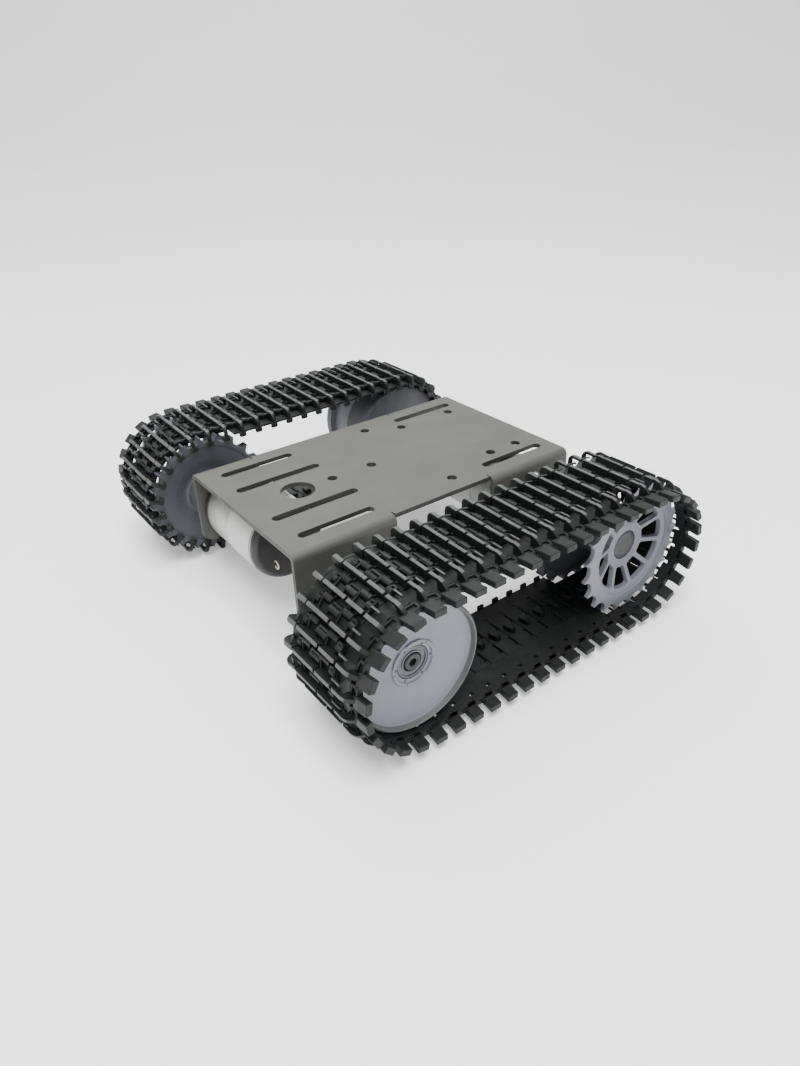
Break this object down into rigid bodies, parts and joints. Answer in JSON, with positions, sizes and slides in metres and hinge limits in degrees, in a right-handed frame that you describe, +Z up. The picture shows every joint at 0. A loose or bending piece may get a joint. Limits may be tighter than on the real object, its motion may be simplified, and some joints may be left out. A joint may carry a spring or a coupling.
{
  "type": "tracked tank chassis",
  "caption": "Tracked robot chassis: folded metal deck with slots and holes, gear motors driving toothed sprockets, plain idler wheels and wide looped plastic tracks.",
  "frame": {"origin": "on the ground, midway between the two track loops and midway between the front and rear axles", "axes": "+X along the tracks, +Y across to the left track, +Z up from the ground"},
  "size_m": [0.1734, 0.212, 0.062],
  "materials": {
    "deck_paint": "satin grey paint on folded aluminium sheet",
    "track_plastic": "dark matte moulded plastic",
    "wheel_plastic": "light bluish-grey moulded plastic",
    "cap_plastic": "mid-grey moulded plastic",
    "screw_steel": "zinc-plated",
    "dark_steel": "blackened",
    "can_steel": "nickel-plated drawn steel",
    "brass": "plain brass",
    "armature_copper": "enamelled copper winding on steel laminations",
    "label_paper": "white film label, blank",
    "black_plastic": "black moulded plastic"
  },
  "bodies": {
    "chassis": {"chassis_plate": "deck_paint", "left_track": "track_plastic", "left_motor_can": "can_steel", "left_motor_label": "label_paper", "left_motor_end_cap": "black_plastic", "left_terminal_a": "brass", "left_terminal_b": "brass", "left_gearbox_shell": "can_steel", "left_gearbox_face": "dark_steel", "left_output_bush": "brass", "left_mount_screw_a": "screw_steel", "left_mount_screw_b": "screw_steel", "left_axle_bolt": "dark_steel", "left_axle_spacer": "screw_steel", "left_lock_nut": "screw_steel", "right_track": "track_plastic", "right_motor_can": "can_steel", "right_motor_label": "label_paper", "right_motor_end_cap": "black_plastic", "right_terminal_a": "brass", "right_terminal_b": "brass", "right_gearbox_shell": "can_steel", "right_gearbox_face": "dark_steel", "right_output_bush": "brass", "right_mount_screw_a": "screw_steel", "right_mount_screw_b": "screw_steel", "right_axle_bolt": "dark_steel", "right_axle_spacer": "screw_steel", "right_lock_nut": "screw_steel"},
    "left_drive": {"left_sprocket_outer": "wheel_plastic", "left_sprocket_inner": "wheel_plastic", "left_hub_cap": "cap_plastic", "left_wheel_screw": "screw_steel", "left_coupling": "brass", "left_set_screw": "dark_steel", "left_output_shaft": "screw_steel", "left_output_gear": "brass"},
    "left_lay": {"left_lay_gear": "brass"},
    "left_rotor": {"left_armature": "armature_copper", "left_pinion": "brass"},
    "left_idler": {"left_idler_outer": "wheel_plastic", "left_idler_inner": "wheel_plastic", "left_bearing_outer": "screw_steel", "left_bearing_inner": "screw_steel"},
    "right_drive": {"right_sprocket_outer": "wheel_plastic", "right_sprocket_inner": "wheel_plastic", "right_hub_cap": "cap_plastic", "right_wheel_screw": "screw_steel", "right_coupling": "brass", "right_set_screw": "dark_steel", "right_output_shaft": "screw_steel", "right_output_gear": "brass"},
    "right_lay": {"right_lay_gear": "brass"},
    "right_rotor": {"right_armature": "armature_copper", "right_pinion": "brass"},
    "right_idler": {"right_idler_outer": "wheel_plastic", "right_idler_inner": "wheel_plastic", "right_bearing_outer": "screw_steel", "right_bearing_inner": "screw_steel"}
  },
  "joints": [
    {"name": "left_drive_spin", "type": "hinge", "parent": "chassis", "child": "left_drive", "pos_m": [-0.0558, 0, 0.031], "axis": [0, 1, 0], "continuous": true},
    {"name": "left_lay_spin", "type": "hinge", "parent": "chassis", "child": "left_lay", "pos_m": [-0.05046, 0, 0.02504], "axis": [0, 1, 0], "continuous": true},
    {"name": "left_rotor_spin", "type": "hinge", "parent": "chassis", "child": "left_rotor", "pos_m": [-0.0513, 0, 0.033], "axis": [0, 1, 0], "continuous": true},
    {"name": "left_idler_spin", "type": "hinge", "parent": "chassis", "child": "left_idler", "pos_m": [0.0558, 0, 0.031], "axis": [0, 1, 0], "continuous": true},
    {"name": "right_drive_spin", "type": "hinge", "parent": "chassis", "child": "right_drive", "pos_m": [0.0558, 0, 0.031], "axis": [0, 1, 0], "continuous": true},
    {"name": "right_lay_spin", "type": "hinge", "parent": "chassis", "child": "right_lay", "pos_m": [0.05046, 0, 0.02504], "axis": [0, 1, 0], "continuous": true},
    {"name": "right_rotor_spin", "type": "hinge", "parent": "chassis", "child": "right_rotor", "pos_m": [0.0513, 0, 0.033], "axis": [0, 1, 0], "continuous": true},
    {"name": "right_idler_spin", "type": "hinge", "parent": "chassis", "child": "right_idler", "pos_m": [-0.0558, 0, 0.031], "axis": [0, 1, 0], "continuous": true}
  ],
  "couplings": [
    {"joint": "left_lay_spin", "follows": "left_drive_spin", "ratio": -3},
    {"joint": "left_rotor_spin", "follows": "left_drive_spin", "ratio": 9},
    {"joint": "left_idler_spin", "follows": "left_drive_spin", "ratio": 1},
    {"joint": "right_lay_spin", "follows": "right_drive_spin", "ratio": -3},
    {"joint": "right_rotor_spin", "follows": "right_drive_spin", "ratio": 9},
    {"joint": "right_idler_spin", "follows": "right_drive_spin", "ratio": 1}
  ]
}
